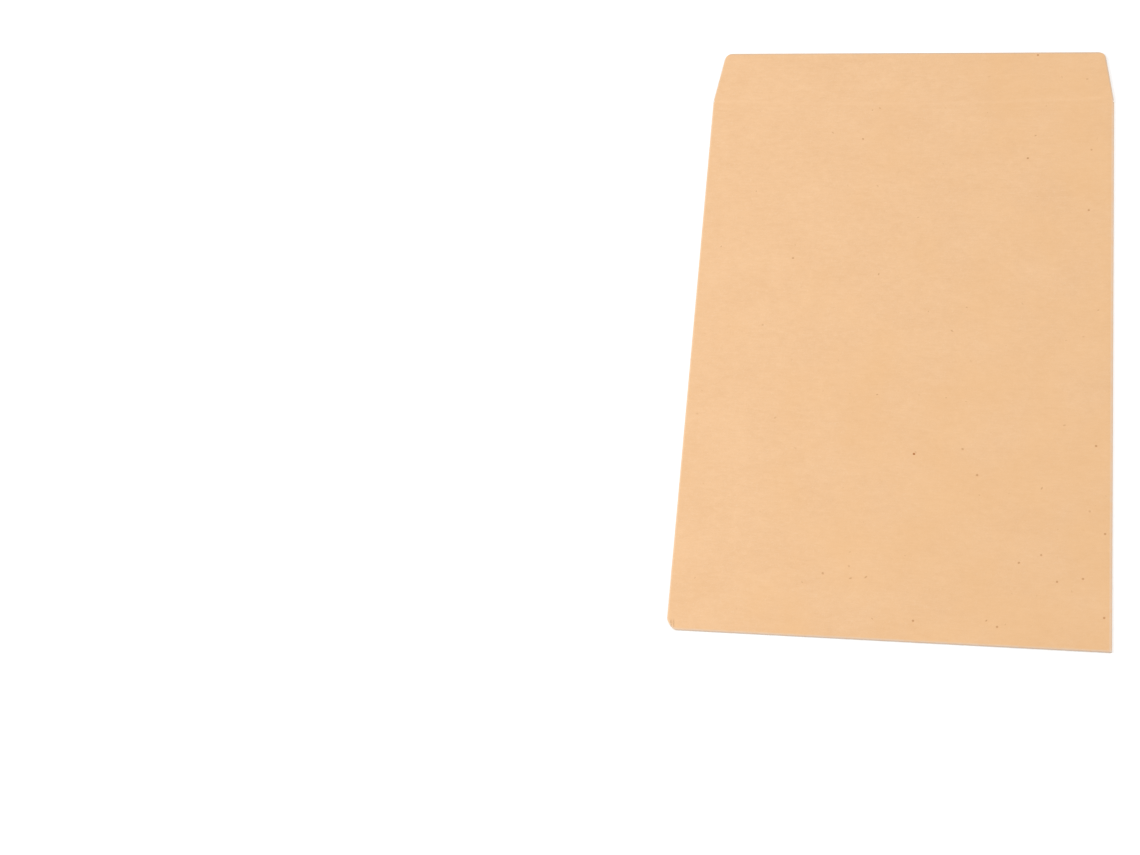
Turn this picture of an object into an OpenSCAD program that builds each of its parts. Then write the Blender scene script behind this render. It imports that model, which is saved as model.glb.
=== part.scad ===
// Kraft paper pocket envelope, C6, lying face up with its flap open.
// One die-cut sheet: the side folds wrap the back panels round to a glued
// centre seam, and the bottom flap is turned up over them and glued.
// Millimetres. +Y runs from the bottom fold to the open flap, +Z is up.

/* [Body] */
// Width of the envelope across its two side folds
env_w = 114; // [80:1:240]
// Length from the bottom fold to the fold of the closing flap
env_l = 162; // [110:1:330]
// Thickness of the kraft paper
paper_t = 0.14; // [0.1:0.01:0.25]
// Air left over the spot where the most plies lie on each other
slack_t = 0.06; // [0.04:0.01:0.4]

/* [Closing flap] */
// Depth of the open flap beyond its fold
flap_l = 16; // [10:0.5:60]
// How far each end of the flap's free edge lies in from the body's side
flap_in = 2.6; // [1:0.1:12]
// Step at each side where the flap starts, in from the side fold
flap_step = 0.1; // [0.1:0.05:0.9]
// Radius of the flap's two corners
flap_r = 2.2; // [0.5:0.1:8]

/* [Back panels] */
// Overlap of the two back panels along the glued centre seam
seam_w = 12; // [6:0.5:25]
// Width of the slope where the inner panel climbs on to the outer one
bend_w = 0.8; // [0.4:0.1:2]
// Gap left beside the edge of a ply before the next one bends over it
edge_gap = 0.3; // [0.1:0.1:1]
// Distance from the flap's fold down to the mouth, where the back panels end
throat_l = 0.5; // [0.2:0.1:12]

/* [Bottom flap] */
// Depth of the bottom flap, glued up over the back panels
tail_l = 18; // [12:0.5:40]
// How far each end of the bottom flap's free edge lies in from the body's side
tail_in = 7; // [3:0.5:15]
// Step at each side where the bottom flap starts, in from the side fold
tail_step = 0.3; // [0.2:0.1:1.5]
// Radius of the bottom flap's two corners
tail_r = 4; // [1:0.5:8]

/* [Blunted corner] */
// Width of the knocked and rounded bottom left corner
blunt_w = 2.4; // [0.5:0.1:6]
// Length of the knocked and rounded bottom left corner
blunt_l = 3.2; // [0.5:0.1:8]
// How flat the blunting is: 1 an ellipse's quarter, 2 a straight bevel
blunt_flat = 1.4; // [1:0.1:2]

/* [Hidden] */
$fn = 64;

kraft = [0.94, 0.77, 0.59];
arc_steps = 12;
// bottom flap, outer back panel, inner back panel, slack and front panel
body_t = 4 * paper_t + slack_t;
// the back panels lie one ply higher where the bottom flap is under them
tail_end = tail_l + edge_gap;
step_end = tail_end + 2 * paper_t;
mouth_y = env_l - throat_l;
// edge of the outer back panel, and where the inner one starts its bend
seam_x = -seam_w / 2;
bend_x = seam_x - edge_gap - bend_w;
total_l = env_l + flap_l;

// Points along an arc round [x, y], from one angle to another
function arc(x, y, r, from, to) =
    [for (i = [0:arc_steps])
        let (a = from + (to - from) * i / arc_steps)
        [x + r * cos(a), y + r * sin(a)]];

// Outline of a flap: half its width at the fold and at the free edge, the
// straight root before its taper, its whole depth and its corners' radius
function flap_outline(half_base, half_tip, root, depth, r) =
    let (a = atan((half_base - half_tip) / (depth - root)),
         x = half_tip - r * (1 - sin(a)) / cos(a),
         y = depth - r)
    concat([[-half_base, root], [-half_base, 0], [half_base, 0], [half_base, root]],
           arc(x, y, r, a, 90),
           arc(-x, y, r, 90, 180 - a));

// Section of a folded edge, open towards -X: a half ring one ply thick, and
// as much again of the two plies that run back from it
module fold_section(height) {
    difference() {
        circle(d = height);
        circle(d = height - 2 * paper_t);
        translate([-height, -height / 2]) square(height);
    }
    for (z = [-height / 2, height / 2 - paper_t])
        translate([-height, z]) square([height, paper_t]);
}

// Section of the body, on the table at z = 0: the front panel, the two side
// folds, the outer back panel, and the inner one, which bends up and runs on
// over the outer one as the glued lap
module body_section(height) {
    half = (env_w - height) / 2;
    translate([-half, height - paper_t]) square([2 * half, paper_t]);
    for (side = [0, 1]) mirror([side, 0])
        translate([half, height / 2]) fold_section(height);
    translate([seam_x, 0]) square([half - seam_x, paper_t]);
    translate([-half, 0]) square([half + bend_x, paper_t]);
    polygon([
        [bend_x, 0],
        [bend_x + bend_w, paper_t],
        [-seam_x, paper_t],
        [-seam_x, 2 * paper_t],
        [bend_x + bend_w, 2 * paper_t],
        [bend_x, paper_t]
    ]);
}

// Runs a section drawn in X and Z along the envelope, from one Y to another
module run_along(from, to) {
    translate([0, to, 0]) rotate([90, 0, 0]) linear_extrude(to - from) children();
}

// The tube of the body: flush with the table up to the mouth, and thinner by
// one ply where it lies on the bottom flap
module tube() {
    run_along(tail_end, mouth_y) body_section(body_t);
    translate([0, 0, paper_t])
        run_along(body_t / 2, step_end) body_section(body_t - paper_t);
}

// The front panel and the closing flap, which runs on from it at the mouth
module front_sheet() {
    half = (env_w - body_t) / 2;
    translate([0, 0, body_t - paper_t]) linear_extrude(paper_t) {
        translate([-half, body_t / 2]) square([2 * half, mouth_y]);
        translate([0, mouth_y])
            polygon(flap_outline(env_w / 2 - flap_step, env_w / 2 - flap_in,
                                 throat_l, throat_l + flap_l, flap_r));
    }
}

// The bottom flap is the front panel turned under at the bottom fold
module bottom_flap() {
    half = env_w / 2 - tail_step;
    translate([-half, body_t / 2, body_t / 2])
        rotate([90, 0, 90]) linear_extrude(2 * half)
            mirror([1, 0]) fold_section(body_t);
    translate([0, body_t / 2, 0]) linear_extrude(paper_t)
        polygon(flap_outline(half, env_w / 2 - tail_in,
                             body_t, tail_l - body_t / 2, tail_r));
}

// What the knocked corner lacks of a sharp one, right through the body
module blunting() {
    knocked = [
        for (i = [0:arc_steps])
            let (a = 90 * i / arc_steps)
            [blunt_w * (1 - pow(sin(a), blunt_flat)), blunt_l * (1 - pow(cos(a), blunt_flat))]
    ];
    translate([-env_w / 2, 0, -body_t]) linear_extrude(3 * body_t)
        polygon(concat([[-body_t, -body_t], [blunt_w, -body_t]], knocked, [[-body_t, blunt_l]]));
}

module envelope() {
    color(kraft) translate([0, -total_l / 2, 0]) difference() {
        union() {
            tube();
            front_sheet();
            bottom_flap();
        }
        blunting();
    }
}

envelope();
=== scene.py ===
import math

import bmesh
import bpy
from mathutils import Matrix, Quaternion, Vector, noise


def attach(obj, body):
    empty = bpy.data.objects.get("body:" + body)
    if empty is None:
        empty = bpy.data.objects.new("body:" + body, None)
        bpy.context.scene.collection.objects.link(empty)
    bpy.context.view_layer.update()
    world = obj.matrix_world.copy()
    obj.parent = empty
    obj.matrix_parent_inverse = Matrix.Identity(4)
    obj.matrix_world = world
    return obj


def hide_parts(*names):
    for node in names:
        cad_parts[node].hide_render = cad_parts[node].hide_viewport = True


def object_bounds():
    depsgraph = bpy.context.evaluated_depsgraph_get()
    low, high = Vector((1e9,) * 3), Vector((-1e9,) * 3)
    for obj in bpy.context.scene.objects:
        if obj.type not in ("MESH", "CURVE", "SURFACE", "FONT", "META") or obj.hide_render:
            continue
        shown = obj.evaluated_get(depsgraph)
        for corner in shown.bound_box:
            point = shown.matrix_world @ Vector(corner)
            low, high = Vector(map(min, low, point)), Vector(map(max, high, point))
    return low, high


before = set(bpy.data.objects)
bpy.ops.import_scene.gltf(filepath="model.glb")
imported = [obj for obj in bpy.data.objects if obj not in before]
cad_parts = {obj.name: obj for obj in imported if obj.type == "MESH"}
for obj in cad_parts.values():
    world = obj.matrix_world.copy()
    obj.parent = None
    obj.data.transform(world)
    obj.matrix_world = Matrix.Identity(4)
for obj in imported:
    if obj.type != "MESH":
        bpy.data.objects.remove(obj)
cadLow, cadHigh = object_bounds()
mm = 0.001
near = 1e-7                    # what lies closer than this is at the same place
up = Vector((0, 0, 1))
right = Vector((1, 0, 0))
toFlap = Vector((0, 1, 0))     # from the bottom fold to the closing flap


# Shader maths. A Wire is one socket, and + - * on it add Math nodes.
class Wire:
    def __init__(self, net, socket):
        self.net = net
        self.socket = socket

    def other(self, out):
        # another output of the same node
        return Wire(self.net, self.socket.node.outputs[out])

    def __add__(self, other):
        return self.net.math("ADD", self, other)

    def __radd__(self, other):
        return self.net.math("ADD", other, self)

    def __sub__(self, other):
        return self.net.math("SUBTRACT", self, other)

    def __rsub__(self, other):
        return self.net.math("SUBTRACT", other, self)

    def __mul__(self, other):
        return self.net.math("MULTIPLY", self, other)

    def __rmul__(self, other):
        return self.net.math("MULTIPLY", other, self)

    def __abs__(self):
        return self.net.math("ABSOLUTE", self)


class Net:
    # the nodes of one material, or of the sky
    def __init__(self, owner):
        owner.use_nodes = True
        self.tree = owner.node_tree
        self.tree.nodes.clear()

    def node(self, kind, settings=None, sockets=None, out=0):
        made = self.tree.nodes.new("ShaderNode" + kind)
        for key, value in (settings or {}).items():
            setattr(made, key, value)
        for key, value in (sockets or {}).items():
            if isinstance(value, Wire):
                self.tree.links.new(value.socket, made.inputs[key])
            else:
                made.inputs[key].default_value = value
        return Wire(self, made.outputs[out]) if made.outputs else None

    def math(self, operation, first, second=0.0):
        return self.node("Math", {"operation": operation}, {0: first, 1: second})

    def step(self, value, low, high):
        # 0 at low, 1 at high and smooth between them; low may be the larger one
        return self.node("MapRange", {"interpolation_type": "SMOOTHSTEP"},
                         {"Value": value, "From Min": low, "From Max": high})

    def stretch(self, vector, scale, move=(0.0, 0.0, 0.0)):
        return self.node("Mapping", {}, {"Vector": vector, "Location": move, "Scale": scale})

    def cloud(self, vector, scale, detail, rough, bend=0.0):
        return self.node("TexNoise", {"noise_dimensions": "3D"},
                         {"Vector": vector, "Scale": scale, "Detail": detail,
                          "Roughness": rough, "Distortion": bend})

    def blend(self, share, first, second):
        return self.node("Mix", {"data_type": "RGBA", "blend_type": "MIX"},
                         {0: share, 6: first, 7: second}, out=2)


class Paper(Net):
    # a kraft material as it is built up: where a point lies, in millimetres,
    # and the colour, roughness and height that it has so far
    def __init__(self, name, move, look):
        self.material = bpy.data.materials.new(name)
        super().__init__(self.material)
        self.flat = self.inMm(self.node("Attribute", {"attribute_name": "blank"}, out=1))
        self.place = self.stretch(self.flat, (1, 1, 1), move)
        self.x = self.node("SeparateXYZ", {}, {0: self.flat})
        self.y = self.x.other(1)
        # the same on the finished envelope
        self.across = self.node("SeparateXYZ", {}, {0: self.inMm(self.node("TexCoord", out=3))})
        self.along = self.across.other(1)
        self.color = look["deep"]
        self.rough = look["roughness"]
        self.height = 0.0

    def inMm(self, vector):
        return self.stretch(vector, (1 / mm, 1 / mm, 1 / mm))

    def noise(self, stretch, scale, detail, rough, bend=0.0, move=(0.0, 0.0, 0.0)):
        return self.cloud(self.stretch(self.place, stretch, move), scale, detail, rough, bend)

    def tint(self, share, color):
        self.color = self.blend(share, self.color, color)

    def band(self, value, mark):
        # 1 within half of the mark's place, and 0 further off than half and soft
        return self.step(abs(value - mark["at"]), mark["half"] + mark["soft"], mark["half"])


# Kraft paper. Lengths are millimetres on the flat blank, whose x and y are
# those of the front panel and run on round the folds. The relief is the
# height of the fibres, and all other heights are multiples of it.
kraft = {
    "pale": (0.968, 0.632, 0.366, 1.0),
    "deep": (0.812, 0.485, 0.250, 1.0),
    "warm": (0.905, 0.538, 0.254, 1.0),
    # worn: the pale colour of wear, also used as the painted highlight along the left fold
    "wornAndHighlight": (0.985, 0.735, 0.510, 1.0),
    # rubbed: wear greyed by painted shade, on the right and bottom folds
    "rubbedAndShade": (0.830, 0.705, 0.600, 1.0),
    # soiled: painted shade along the flap's right and free edges
    "paintedEdgeShade": (0.620, 0.520, 0.430, 1.0),
    "bark": (0.420, 0.122, 0.014, 1.0),
    "gum": (0.790, 0.500, 0.235, 1.0),
    "roughness": 0.78,
    "relief": 0.020,
    "cutEdge": 0.35,           # share of the worn colour on it
    # the pulp's noises; tone, height and matt are each one's share of the tone,
    # the relief and the roughness
    "pulp": (
        {"stretch": (0.70, 1.0, 1), "scale": 0.085, "detail": 2.0, "rough": 0.50, "bend": 0.0,
         "tone": 0.30, "height": 0.0, "matt": 0.0},      # slow clouds
        {"stretch": (0.60, 1.0, 1), "scale": 0.55, "detail": 3.0, "rough": 0.60, "bend": 0.4,
         "tone": 0.38, "height": 0.5, "matt": 0.0},      # clumps of a few millimetres
        {"stretch": (0.24, 1.3, 1), "scale": 1.25, "detail": 4.0, "rough": 0.62, "bend": 0.5,
         "tone": 0.32, "height": 0.9, "matt": 0.16},     # streaks along the grain
        {"stretch": (0.80, 3.2, 1), "scale": 2.6, "detail": 3.0, "rough": 0.65, "bend": 0.8,
         "tone": 0.30, "height": 0.6, "matt": 0.0},      # the finest mottle
    ),
    "fibres": {
        "length": 1.5, "width": 0.11,
        "lays": ((7, 0), (-28, 40), (46, 90), (98, 150)),     # degrees, and a shift
        "crest": (0.60, 0.74), "pale": 0.22, "rise": 0.45,
        "trough": (0.40, 0.26), "dark": 0.20, "dip": 0.25,
    },
    "patches": {
        "share": 0.34, "range": (0.35, 0.80),
        # across, byFlap and along add painted warm light, warmer and darker towards the right and the
        # bottom
        "across": 0.0030,      # warmer towards the right of the finished envelope,
        "byFlap": 0.0034,      # by this much more at its flap,
        "flapFrom": (20, 90),
        "along": -0.0010,      # and warmer towards the bottom
    },
    "flecks": {
        "cell": 9.0,           # one may lie in each square of this size
        "radius": 0.46,        # of the largest
        "slim": (0.75, 1.5, 0),
        "luck": (0.30, 1.1),   # of a cell, from no fleck to the largest
        "ragged": 0.25,
        "share": 0.48,
    },
}


def pulp(paper, look=kraft):
    # the bare paper, from slow clouds down to a fine mottle
    tone = 0.5
    for layer in look["pulp"]:
        value = paper.noise(layer["stretch"], layer["scale"], layer["detail"],
                            layer["rough"], layer["bend"])
        tone = tone + layer["tone"] * (value - 0.5)
        if layer["height"]:
            paper.height = paper.height + layer["height"] * value
        if layer["matt"]:
            paper.rough = paper.rough + layer["matt"] * (value - 0.5)
    paper.tint(paper.step(tone, 0.0, 1.0), look["pale"])


def singleFibres(paper, look=kraft):
    # long narrow noises laid over each other in a few directions: their crests
    # are the pale fibres and their troughs the dark ones
    fibres = look["fibres"]
    pale, dark = 0.0, 0.0
    for turn, slide in fibres["lays"]:
        laid = paper.node("Mapping", {"vector_type": "TEXTURE"}, {
            "Vector": paper.place,
            "Location": (slide, slide, 0),
            "Rotation": (0, 0, math.radians(turn)),
            "Scale": (fibres["length"], fibres["width"], 1),
        })
        fibre = paper.cloud(laid, 1.0, 1.0, 0.5, 0.15)
        pale = paper.step(fibre, *fibres["crest"]) + pale
        dark = paper.step(fibre, *fibres["trough"]) + dark
    paper.tint(fibres["pale"] * pale, look["wornAndHighlight"])
    paper.tint(fibres["dark"] * dark, look["deep"])
    paper.height = paper.height + fibres["rise"] * pale - fibres["dip"] * dark


def warmPatchesAndLight(paper, look=kraft):
    warm = look["patches"]
    patch = paper.noise((1, 0.8, 1), 0.06, 3.0, 0.6, move=(31, 7, 3))
    # painted warm light, growing towards the right and the bottom and more on the flap, over random warm
    # patches
    drift = warm["across"] + warm["byFlap"] * paper.step(paper.along, *warm["flapFrom"])
    patch = patch + drift * paper.across + warm["along"] * paper.along
    paper.tint(warm["share"] * paper.step(patch, *warm["range"]), look["warm"])


def barkFlecks(paper, look=kraft):
    # in some cells one fleck, of its own size, darkness and direction
    flecks = look["flecks"]
    wobble = paper.cloud(paper.place, 3.0, 2.0, 0.6) - 0.5
    cells = paper.node("TexVoronoi", {"voronoi_dimensions": "2D", "feature": "F1"},
                       {"Vector": paper.place, "Scale": 1 / flecks["cell"], "Randomness": 1.0})
    luck = paper.node("SeparateColor", {}, {0: cells.other(1)})
    away = paper.node("VectorMath", {"operation": "SUBTRACT"}, {0: paper.place, 1: cells.other(2)})
    turned = paper.node("VectorRotate", {"rotation_type": "Z_AXIS"}, {"Vector": away, "Angle": 6.3 * luck})
    slim = paper.stretch(turned, flecks["slim"])
    far = paper.node("VectorMath", {"operation": "LENGTH"}, {0: slim}, out=1)
    size = flecks["radius"] * paper.step(luck.other(1), *flecks["luck"])
    fleck = paper.step(far + flecks["ragged"] * wobble, size + 0.001, 0.3 * size)
    dark = luck.other(2)
    paper.tint(flecks["share"] * (fleck * (0.2 + 0.8 * dark * dark)), look["bark"])


# Wear, marks, and painted highlight and shade on the sheet, in the same units
marks = {
    # where folds are rubbed: a painted highlight on the left fold and painted shade on the right and
    # bottom folds, each partly wear
    "leftFold": {"at": -56.9, "half": 0.20, "soft": 0.25, "share": 0.34},
    "rightFold": {"at": 56.9, "half": 0.30, "soft": 0.50, "share": 0.42},
    "bottomFold": {"at": -89.05, "half": 0.20, "soft": 0.60, "share": 0.50},
    # the closing flap, whose right and free edges get painted shade
    "flap": {
        "side": 56.9, "end": 89.0,
        "root": 73.0,          # its sides lean in from here on,
        "lean": 0.156,         # by this much a millimetre
        "rim": (-0.60, -0.15),     # painted shade from here on towards the edge
        "share": 0.52,
    },
    # the score that it folds along: a low ridge, with a painted highlight along it
    "score": {
        "at": 71.9, "half": 0.15, "soft": 0.70,
        "bow": 0.00046,        # it rises a little towards both sides
        "lean": 0.012,
        "waver": 0.6,          # and wavers by this much
        "share": 0.18, "height": 2.2,
    },
    # two short creases beside the knocked corner, on the finished envelope, with painted shade in them
    "creases": {
        "at": (-55.7, -55.0), "half": 0.05, "soft": 0.15,
        "low": (-88.7, -87.9), "high": (-85.9, -86.9),     # where they fade at each end
        "bend": 0.8,
        "share": 0.60, "height": -5.0,
    },
    # glue under the seam's lap and in the bottom flap cockles the paper over it;
    # it fades in and out over these stretches of x, and of y
    "glue": {
        "seam": ((108.5, 110.1), (119.5, 117.9)),
        "tail": ((-106.8, -105.2), (-90.5, -92.5)),
        "share": 0.16, "height": 6.0,
    },
    # dried gum on the flap's inner face: yellower, smooth, thicker at its rim
    "gum": {
        "low": 75.5, "high": 86.5, "ends": 50.5,
        "share": 0.45, "rimShare": 0.30,
        "smooth": 0.44,
        "height": 1.2, "rimHeight": 0.8, "rippleHeight": 1.5,
        "filled": 0.75,        # how far it levels the fibres
    },
    # the flecks that show most on the front: x, y, and how dark
    "flecks": (
        (5.5, -36.8, 0.95), (33.5, 54.1, 0.60), (50.3, 37.7, 0.50), (-30.5, 21.4, 0.46),
        (22.2, -42.2, 0.50), (52.7, -32.8, 0.54), (33.5, -66.2, 0.50), (39.1, -63.8, 0.46),
        (43.2, -70.9, 0.48), (49.7, -69.8, 0.48), (55.1, -57.3, 0.50), (7.1, -83.3, 0.56),
        (55.0, -80.0, 0.58), (28.4, -83.8, 0.48), (-12.8, 60.1, 0.40), (35.7, 88.1, 0.62),
        (-16.8, -71.5, 0.40), (50.9, 56.9, 0.34), (-37.6, 0.4, 0.26), (18.2, -34.9, 0.36),
        (51.2, -51.2, 0.26), (-10.1, -69.2, 0.22),
    ),
    "fleckSize": (0.40, 0.18),
}


def mainFlecks(paper, where=marks):
    # round spots with a slightly wavy outline
    wobble = paper.cloud(paper.flat, 2.4, 2.0, 0.6) - 0.5
    shift = paper.node("CombineXYZ", {}, {0: 0.45 * wobble, 1: -0.25 * wobble})
    close = paper.node("VectorMath", {"operation": "ADD"}, {0: paper.flat, 1: shift})
    total = 0.0
    for x, y, dark in where["flecks"]:
        far = paper.node("VectorMath", {"operation": "DISTANCE"}, {0: close, 1: (x, y, 0)}, out=1)
        total = dark * paper.step(far, *where["fleckSize"]) + total
    paper.tint(total, kraft["bark"])


def foldsAndEdgesWearAndPaintedLight(paper, where=marks):
    # all of it is stronger in some places; the left fold gets a pale painted highlight and the right and
    # bottom folds a grey painted shade, both partly wear
    patchiness = paper.noise((0.6, 0.6, 1), 1.1, 3.0, 0.7, move=(2, 2, 2))
    patchiness = 0.6 + 0.6 * paper.step(patchiness, 0.25, 0.65)
    left, flap = where["leftFold"], where["flap"]
    lean = flap["lean"] * paper.math("MAXIMUM", paper.y - flap["root"], 0.0)
    # painted highlight along the left fold, partly pale wear
    paper.tint(left["share"] * patchiness * paper.band(paper.x - lean, left), kraft["wornAndHighlight"])
    fold = 0.0
    for value, mark in ((paper.x, where["rightFold"]), (paper.y, where["bottomFold"])):
        fold = fold + mark["share"] * paper.band(value, mark)
    # painted shade along the right and bottom folds, partly wear
    paper.tint(patchiness * fold, kraft["rubbedAndShade"])

    beyond = paper.math("MAXIMUM", paper.x + lean - flap["side"], paper.y - flap["end"])
    rim = paper.step(beyond, *flap["rim"]) * paper.step(paper.y, flap["root"] - 0.3, flap["root"] + 0.5)
    # painted shade along the flap's right and free edges
    paper.tint(flap["share"] * patchiness * rim, kraft["paintedEdgeShade"])


def flapScore(paper, score=marks["score"]):
    waver = paper.noise((0.05, 0, 1), 1.0, 1.0, 0.5) - 0.5
    line = paper.y - score["bow"] * paper.x * paper.x - score["lean"] * paper.x - score["waver"] * waver
    ridge = paper.band(line, score)
    # painted highlight along the score's ridge
    paper.tint(score["share"] * ridge, kraft["pale"])
    paper.height = paper.height + score["height"] * ridge


def cornerCreases(paper, creases=marks["creases"]):
    short = paper.step(paper.along, *creases["low"]) * paper.step(paper.along, *creases["high"])
    # on the front alone, which ends where the folds turn under
    short = short * paper.step(abs(paper.x), 57.6, 57.1) * paper.step(paper.y, -89.6, -89.1)
    bend = creases["bend"] * (paper.noise((0, 1, 1), 0.35, 1.0, 0.5) - 0.5)
    both = 0.0
    for at in creases["at"]:
        both = both + paper.band(paper.across + bend, dict(creases, at=at))
    both = both * short
    # painted shade in the creases
    paper.tint(creases["share"] * both, kraft["deep"])
    paper.height = paper.height + creases["height"] * both


def gluedPlies(paper, glue=marks["glue"]):
    glued = 0.0
    for value, (low, high) in ((paper.x, glue["seam"]), (paper.y, glue["tail"])):
        glued = glued + paper.step(value, *low) * paper.step(value, *high)
    cockle = paper.noise((0.34, 0.22, 1), 1.0, 2.0, 0.5, 0.6, move=(9, 9, 9))
    paper.tint(glue["share"] * glued * (0.5 + cockle), kraft["deep"])
    paper.height = paper.height + glue["height"] * glued * cockle


def driedGum(paper, gum=marks["gum"]):
    waver = paper.noise((0.35, 0.1, 1), 0.9, 2.0, 0.5) - 0.5
    inward = paper.math("MINIMUM", paper.y - gum["low"] + 1.2 * waver, gum["high"] - paper.y - 0.8 * waver)
    inward = paper.math("MINIMUM", inward, gum["ends"] - abs(paper.x) + 2.0 * waver)
    film = paper.step(inward, -0.1, 0.35)
    rim = film * paper.step(inward, 1.1, 0.2)
    ripple = paper.noise((0.7, 0.25, 1), 0.8, 2.0, 0.4, move=(4, 4, 4))
    paper.tint(film * (gum["share"] + gum["rimShare"] * rim) * (0.7 + 0.6 * ripple), kraft["gum"])
    paper.rough = paper.rough - film * (gum["smooth"] - 0.12 * ripple)
    paper.height = (paper.height * (1 - gum["filled"] * film) + gum["height"] * film
                    + gum["rimHeight"] * rim + gum["rippleHeight"] * film * ripple)


def kraftPaper(name, move, side):
    # side is "outside", "inside" or "edge"
    paper = Paper(name, move, kraft)
    pulp(paper)
    singleFibres(paper)
    warmPatchesAndLight(paper)
    if side == "edge":
        paper.tint(kraft["cutEdge"], kraft["wornAndHighlight"])
    else:
        barkFlecks(paper)
    if side == "outside":
        mainFlecks(paper)
        foldsAndEdgesWearAndPaintedLight(paper)
        flapScore(paper)
        cornerCreases(paper)
        gluedPlies(paper)
    if side == "inside":
        driedGum(paper)

    normal = paper.node("Bump", {}, {
        "Strength": 1.0,
        "Distance": kraft["relief"] * mm,
        "Height": paper.height,
    })
    shader = paper.node("BsdfPrincipled", {}, {
        "Base Color": paper.color,
        "Roughness": paper.rough,
        "Normal": normal,
        "Specular IOR Level": 0.28,
        "IOR": 1.45,
    })
    paper.node("OutputMaterial", {}, {0: shader})
    return paper.material


# The envelope, folded from one flat sheet. The outer face of the paper is
# modelled first, lying flat, then folded, and given its thickness at the end.
envelope = {
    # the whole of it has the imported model's size, to a hundredth of a millimetre
    "width": round(cadHigh.x - cadLow.x, 5),
    "length": round(cadHigh.y - cadLow.y, 5),
    "height": round(cadHigh.z - cadLow.z, 5),
    "paper": 0.14 * mm,
    "air": 0.002 * mm,         # between plies that lie on each other
    "foldSteps": 12,
    "throat": 0.5 * mm,        # from the mouth to the flap's fold
    "flapDepth": 16 * mm,
    "flapIn": 2.6 * mm,        # each end of the free edge, in from the side
    "flapStep": 0.1 * mm,
    "flapRadius": 2.2 * mm,
    "lapWidth": 12 * mm,       # of the glued centre seam
    "lapGap": 0.3 * mm,
    "lapSlope": 0.8 * mm,
    "tailDepth": 18 * mm,      # bottom flap, glued up over the back panels
    "tailIn": 7 * mm,
    "tailStep": 0.3 * mm,
    "tailRadius": 4 * mm,
    "tailSlope": 1.6 * mm,     # length over which the body comes down beyond it
    "slopeSteps": 6,
    "cornerSteps": 10,         # of the flaps' round corners
    "knockWidth": 2.4 * mm,    # the blunted corner at the bottom left
    "knockLength": 3.2 * mm,
    "knockSteps": (6, 8),      # of the finer grid there, across and along
    "knockPower": 1.43,        # 2 is an ellipse's quarter, 1 a straight bevel
    "knockPress": 0.15 * mm,   # how far the front is pressed down there
    "sag": 0.035 * mm,         # the front panel's slack between its folds
    "sagRim": 7 * mm,          # distance from a fold at which it is whole
    "sagWaves": ((22, 17, 4.0, 0.50), (60, 45, 9.0, 0.25)),   # scale in x and y, seed, share
    "grid": 5 * mm,
    "gridAcross": 115 * mm,    # reach to each side of the middle
    "gridAlong": 90 * mm,
}


def withFoldLines(size):
    # adds where the folds lie on the flat blank, and how much paper each takes up
    bend, steps = size["height"] / 2, size["foldSteps"]
    lowest = -size["length"] / 2
    return dict(
        size,
        fold=size["width"] / 2 - bend,
        strip=2 * bend * math.sin(math.pi / steps / 2) * steps,
        bottom=lowest + bend,
        mouth=size["length"] / 2 - size["flapDepth"] - size["throat"],
        lowest=lowest,
        tailEnd=lowest + size["tailDepth"] + size["lapGap"],
        ply=size["paper"] + size["air"],
    )


def extrudeTo(bm, edges, move):
    made = bmesh.ops.extrude_edge_only(bm, edges=edges)["geom"]
    verts = [v for v in made if isinstance(v, bmesh.types.BMVert)]
    bmesh.ops.translate(bm, vec=move, verts=verts)
    return [e for e in made if isinstance(e, bmesh.types.BMEdge) and all(v in verts for v in e.verts)]


def cutAcross(bm, way, places):
    for place in places:
        bmesh.ops.bisect_plane(bm, geom=bm.verts[:] + bm.edges[:] + bm.faces[:], dist=near / 10,
                               plane_co=way * place, plane_no=way)


def edgesOn(bm, way, place, half):
    # edges along a line across the way, no further than half from the middle
    side = up.cross(way)

    def liesOn(vert):
        return abs(vert.co.dot(way) - place) < near and abs(vert.co.dot(side)) < half + near

    return [e for e in bm.edges if all(liesOn(v) for v in e.verts)]


def widen(bm, edges, half):
    # brings both ends of a row of edges across the blank to this far from the middle
    verts = list(dict.fromkeys(v for e in edges for v in e.verts))
    now = max(v.co.x for v in verts)
    bmesh.ops.scale(bm, vec=(half / now, 1, 1), verts=verts)
    return verts


def taperEnd(bm, edges, half, radius, steps):
    # narrows a flap's free edge and rounds its two corners
    verts = widen(bm, edges, half)
    ends = [v for v in verts if abs(abs(v.co.x) - half) < near]
    bmesh.ops.dissolve_verts(bm, verts=[v for v in verts if v not in ends])
    for end in ends:
        sides = [e.other_vert(end).co - end.co for e in end.link_edges]
        reach = radius / math.tan(sides[0].angle(sides[1]) / 2)
        bmesh.ops.bevel(bm, geom=[end], offset=reach, offset_type="OFFSET", segments=steps,
                        profile=0.5, affect="VERTICES", material=-1)


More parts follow.
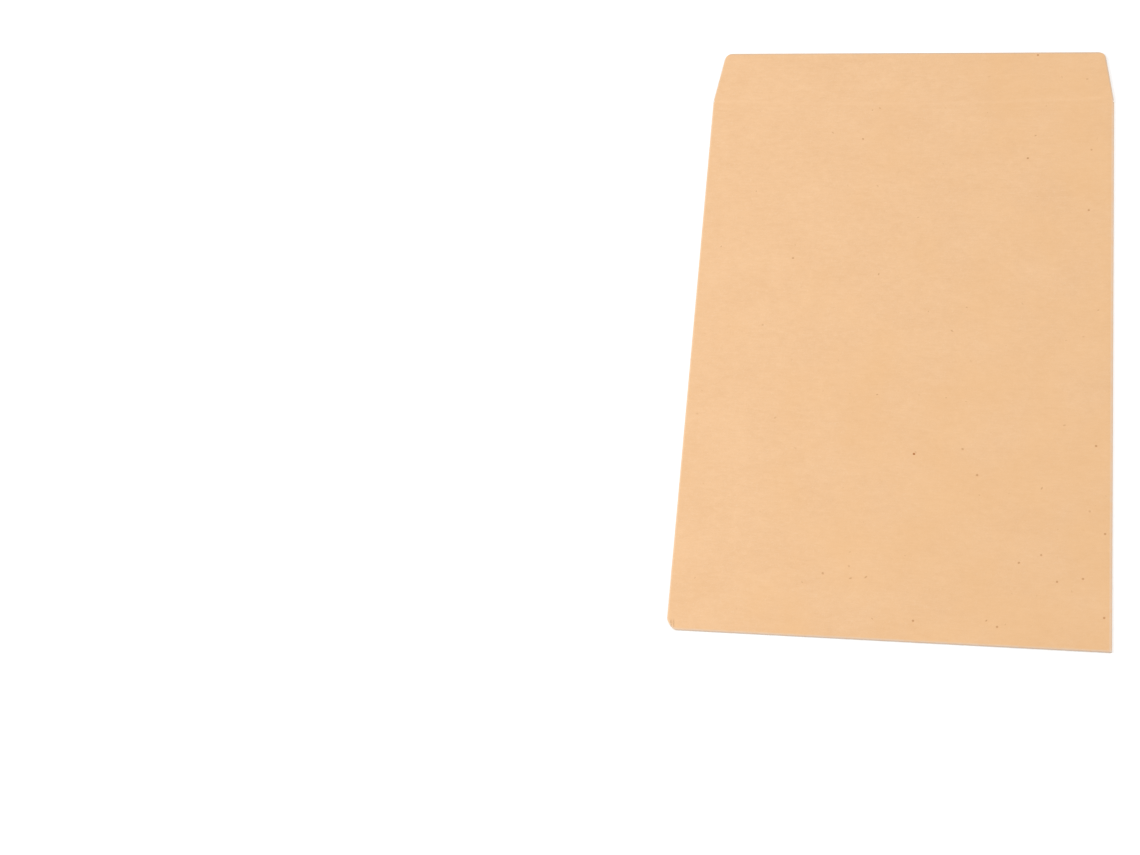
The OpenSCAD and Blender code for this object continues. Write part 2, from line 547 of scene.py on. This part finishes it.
def flatSheet(size):
    # the die-cut blank, lying flat at the level of the front panel
    half, height = size["width"] / 2, size["height"]
    fold, strip, bottom, mouth = size["fold"], size["strip"], size["bottom"], size["mouth"]
    bm = bmesh.new()
    bmesh.ops.create_grid(bm, x_segments=1, y_segments=1, size=0.5)
    bmesh.ops.scale(bm, vec=(2 * fold, mouth - bottom, 1), verts=bm.verts)
    bmesh.ops.translate(bm, vec=(0, (mouth + bottom) / 2, height), verts=bm.verts)

    # closing flap; its root widens a little from the end of the side folds
    flap = edgesOn(bm, toFlap, mouth, half)
    flap = extrudeTo(bm, flap, (0, size["throat"], 0))
    widen(bm, flap, half - size["flapStep"])
    flap = extrudeTo(bm, flap, (0, size["flapDepth"], 0))
    taperEnd(bm, flap, half - size["flapIn"], size["flapRadius"], size["cornerSteps"])

    # bottom flap
    tail = edgesOn(bm, -toFlap, -bottom, half)
    tail = extrudeTo(bm, tail, (0, -strip - height, 0))
    widen(bm, tail, half - size["tailStep"])
    tail = extrudeTo(bm, tail, (0, height * 1.5 - size["tailDepth"], 0))
    taperEnd(bm, tail, half - size["tailIn"], size["tailRadius"], size["cornerSteps"])

    # the two back panels; the left one steps up under the right one at the seam
    lap = size["lapWidth"] / 2
    outer = edgesOn(bm, right, fold, half * 2)
    extrudeTo(bm, outer, (strip + fold + lap, 0, 0))
    slope = lap + size["lapGap"] + size["lapSlope"]
    inner = edgesOn(bm, -right, fold, half * 2)
    inner = extrudeTo(bm, inner, (slope - strip - fold, 0, 0))
    inner = extrudeTo(bm, inner, (-size["lapSlope"], 0, -size["ply"]))
    extrudeTo(bm, inner, (size["lapSlope"] - slope - lap, 0, 0))
    bmesh.ops.recalc_face_normals(bm, faces=bm.faces)
    if sum(f.normal.z for f in bm.faces) < 0:
        bmesh.ops.reverse_faces(bm, faces=bm.faces)
    return bm


def cutGrid(bm, size):
    # lines that the folds bend at, finer ones for the corner, and a plain grid
    steps, grid = size["foldSteps"], size["grid"]
    rolled = [size["strip"] * k / steps for k in range(steps + 1)]
    cutAcross(bm, right, [size["fold"] + place for place in rolled])
    cutAcross(bm, right, [-size["fold"] - place for place in rolled])
    cutAcross(bm, toFlap, [size["bottom"] - place for place in rolled])
    wide, long = size["knockSteps"]
    cutAcross(bm, right, [size["knockWidth"] * (k + 1) / wide - size["width"] / 2 for k in range(wide)])
    cutAcross(bm, toFlap, [size["lowest"] + size["knockLength"] * (k + 1) / long for k in range(long)])
    steps = size["slopeSteps"]
    cutAcross(bm, toFlap, [size["tailEnd"] + size["tailSlope"] * k / steps for k in range(steps + 1)])
    for way, reach in ((right, size["gridAcross"]), (toFlap, size["gridAlong"])):
        count = round(reach / grid)
        cutAcross(bm, way, [grid * k for k in range(-count, count + 1)])


def rollFold(bm, blank, way, start, strip, steps):
    # rolls all that lies beyond a crease under the rest, one strip at a time
    for k in range(steps + 1):
        line = start + strip * k / steps
        crease = next(v for v in bm.verts if abs(v[blank].dot(way) - line) < near)
        beyond = [v for v in bm.verts if v[blank].dot(way) > line + near]
        turn = math.pi / steps * (0.5 if k in (0, steps) else 1.0)
        bmesh.ops.rotate(bm, cent=crease.co.copy(), verts=beyond,
                         matrix=Matrix.Rotation(turn, 3, up.cross(way)))


def liftOverTail(bm, blank, size):
    # the body lies on the bottom flap, so it is one ply thinner and higher there
    half, top, ply = size["width"] / 2, size["height"], size["ply"]
    for v in bm.verts:
        if abs(v[blank].x) < size["fold"] + near or v[blank].y < size["bottom"] - near:
            continue
        share = min(max((v.co.y - size["tailEnd"]) / size["tailSlope"], 0.0), 1.0)
        share = 1 - share * share * (3 - 2 * share)
        if abs(v[blank].x) < size["fold"] + size["strip"] + near:
            squeeze = 1 - ply / top * share
            side = math.copysign(half, v.co.x)
            v.co.z = top - (top - v.co.z) * squeeze
            v.co.x = side + (v.co.x - side) * squeeze
        else:
            v.co.z += ply * share


def closeCorners(bm, blank, size):
    # the ends of the side folds and of the bottom fold meet in a mitre, so both lower corners are sharp
    fold, bottom, taken = size["fold"], size["bottom"], size["strip"] + near
    for v in bm.verts:
        side, below = abs(v[blank].x) - fold, bottom - v[blank].y
        if abs(below) < near < side < taken:
            v.co.y -= abs(v.co.x) - fold
        elif side > -10 * near and near < below < taken:
            v.co.x = math.copysign(fold + bottom - v.co.y, v.co.x)


def slacken(bm, blank, size):
    # the front panel and the flap aren't dead flat: they sink a little in places
    for v in bm.verts:
        x, y = v[blank].x, v[blank].y
        if abs(x) > size["fold"] or y < size["bottom"]:
            continue
        inward = min((size["fold"] - abs(x)) / size["sagRim"], (y - size["bottom"]) / size["sagRim"], 1.0)
        wave = 0.5
        for scaleX, scaleY, seed, share in size["sagWaves"]:
            wave += share * noise.noise(Vector((x * scaleX, y * scaleY, seed)))
        v.co.z -= size["sag"] * max(wave, 0.0) * inward


def knockCorner(bm, size):
    # pushes the bottom left corner in, from a square to a flattened curve, and presses it thinner
    power, ply, wide, long = size["knockPower"], size["ply"], size["knockWidth"], size["knockLength"]
    for v in bm.verts:
        a = 1 - (v.co.x - cadLow.x) / wide
        b = 1 - (v.co.y - cadLow.y) / long
        if 0 < a < 1.01 and 0 < b < 1.01:     # a and b are 1 at the corner, or a hair more
            share = max(a, b) / (a ** power + b ** power) ** (1 / power)
            v.co.x = cadLow.x + wide * (1 - a * share)
            v.co.y = cadLow.y + long * (1 - b * share)
            raised = max(v.co.z - ply, 0.0) / (size["height"] - ply)
            v.co.z -= size["knockPress"] * min(a, b) * raised


def orderKey(part):
    # one number for an edge or a face, from its lowest vertex numbers
    numbers = sorted(v.index for v in part.verts)
    return sum(number * scale for number, scale in zip(numbers, (1e10, 1e5, 1)))


def foldedEnvelope(size=envelope):
    size = withFoldLines(size)
    bm = flatSheet(size)
    cutGrid(bm, size)
    bmesh.ops.remove_doubles(bm, verts=bm.verts, dist=near)
    blank = bm.verts.layers.float_vector.new("blank")
    for v in bm.verts:
        v[blank] = (v.co.x, v.co.y, 0)

    strip, steps = size["strip"], size["foldSteps"]
    rollFold(bm, blank, right, size["fold"], strip, steps)
    rollFold(bm, blank, -right, size["fold"], strip, steps)
    liftOverTail(bm, blank, size)
    rollFold(bm, blank, -toFlap, -size["bottom"], strip, steps)
    closeCorners(bm, blank, size)
    slacken(bm, blank, size)
    knockCorner(bm, size)

    # thickness, and which faces are inside or are the cut edge
    outside = set(bm.faces)
    inside = set(bmesh.ops.solidify(bm, geom=bm.faces[:], thickness=size["paper"] - size["air"])["geom"])
    for face in bm.faces:
        face.smooth = True
        face.material_index = 0 if face in outside else 1 if face in inside else 2
    # the operators leave edges and faces in another order each time
    bm.verts.index_update()
    bm.edges.sort(key=orderKey)
    bm.faces.sort(key=orderKey)
    mesh = bpy.data.meshes.new("envelopeSheet")
    bm.to_mesh(mesh)
    bm.free()
    mesh.set_sharp_from_angle(angle=math.radians(35))
    piece = bpy.data.objects.new("envelopeSheet", mesh)
    bpy.context.scene.collection.objects.link(piece)
    return piece


envelopeSheet = foldedEnvelope()
envelopeSheet.data.materials.append(kraftPaper("kraft outside", (0, 0, 0), "outside"))
envelopeSheet.data.materials.append(kraftPaper("kraft inside", (37, 151, 5), "inside"))
envelopeSheet.data.materials.append(kraftPaper("kraft cut edge", (83, 29, 11), "edge"))
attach(envelopeSheet, "root")
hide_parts("envelope")
print("envelope folded:", len(envelopeSheet.data.polygons), "faces")


# White floor and soft studio light
studio = {
    "floorSize": 6.0,
    "floorDrop": 0.01 * mm,    # it lies this much below the envelope
    "floorTone": 0.82,
    "floorGlow": 0.34,         # added where it is seen, to reach white
    "skyStrength": 0.465,
    "keyShare": 0.28,          # part of the light on the paper that is the key's
    "keyPlace": (1.10, 0.80, 1.75),
    "keySize": 1.1,
    "fillShare": 0.28,         # and the nearer fill's, from the left
    "fillPlace": (-0.58, -0.10, 0.45),
    "fillSize": 0.4,
}
white = (1, 1, 1, 1)


def seenRay(net):
    # camera, glossy and transmission rays all see the white background
    ray = net.node("LightPath")
    return net.node("Math", {"operation": "ADD", "use_clamp": True},
                    {0: ray + ray.other(3), 1: ray.other(6)})


def whiteFloor(look=studio):
    bm = bmesh.new()
    bmesh.ops.create_grid(bm, x_segments=1, y_segments=1, size=look["floorSize"] / 2)
    bmesh.ops.translate(bm, vec=(0, 0, -look["floorDrop"]), verts=bm.verts)
    mesh = bpy.data.meshes.new("floor")
    bm.to_mesh(mesh)
    bm.free()
    floor = bpy.data.objects.new("floor", mesh)
    bpy.context.scene.collection.objects.link(floor)

    material = bpy.data.materials.new("white floor")
    net = Net(material)
    tone = look["floorTone"]
    plain = net.node("BsdfDiffuse", {}, {"Color": (tone, tone, tone, 1.0)})
    glow = net.node("Emission", {}, {"Color": white, "Strength": look["floorGlow"]})
    seen = net.node("AddShader", {}, {0: plain, 1: glow})
    mixed = net.node("MixShader", {}, {0: seenRay(net), 1: plain, 2: seen})
    net.node("OutputMaterial", {}, {0: mixed})
    floor.data.materials.append(material)


def plainSky(look=studio):
    world = bpy.data.worlds.new("sky")
    bpy.context.scene.world = world
    net = Net(world)
    strength = look["skyStrength"] + (1 - look["skyStrength"]) * seenRay(net)
    background = net.node("Background", {}, {"Color": white, "Strength": strength})
    net.node("OutputWorld", {}, {0: background})


def softLamp(name, place, size, share):
    # strong enough to give this share of the light in which colours look as written
    data = bpy.data.lights.new(name, "AREA")
    data.shape = "DISK"
    data.size = size
    away = Vector(place)
    data.energy = share * (math.pi * away.length) ** 2 / (away.z / away.length)
    lamp = bpy.data.objects.new(name, data)
    lamp.location = away
    lamp.rotation_mode = "QUATERNION"
    lamp.rotation_quaternion = (-away).to_track_quat("-Z", "Y")
    bpy.context.scene.collection.objects.link(lamp)


whiteFloor()
plainSky()
softLamp("key", studio["keyPlace"], studio["keySize"], studio["keyShare"])
softLamp("fill", studio["fillPlace"], studio["fillSize"], studio["fillShare"])
print("floor and light ready")


# Camera, looking down on the sheet from the lower right
view = {
    "target": (-0.08903, -0.03216, 0.0),
    "azimuth": 27.8,           # degrees round from the bottom edge, to the right
    "elevation": 65.2,
    "roll": -23.7,
    "distance": 0.556,
    "sensor": 36,
    "lens": 2000 * 36 / 1140,  # 2000 pixels of a picture 1140 wide
    "clipStart": 0.01,
}


def placeCamera(look=view):
    turn, lift = math.radians(look["azimuth"]), math.radians(look["elevation"])
    back = Vector((math.sin(turn) * math.cos(lift), -math.cos(turn) * math.cos(lift), math.sin(lift)))
    data = bpy.data.cameras.new("camera")
    data.lens = look["lens"]
    data.sensor_width = look["sensor"]
    data.clip_start = look["clipStart"]
    camera = bpy.data.objects.new("camera", data)
    camera.location = Vector(look["target"]) + back * look["distance"]
    roll = Quaternion((0, 0, 1), math.radians(look["roll"]))
    camera.rotation_mode = "QUATERNION"
    camera.rotation_quaternion = (-back).to_track_quat("-Z", "Y") @ roll
    bpy.context.scene.collection.objects.link(camera)
    bpy.context.scene.camera = camera


placeCamera()
bpy.context.scene.view_settings.view_transform = "Standard"
print("camera placed")
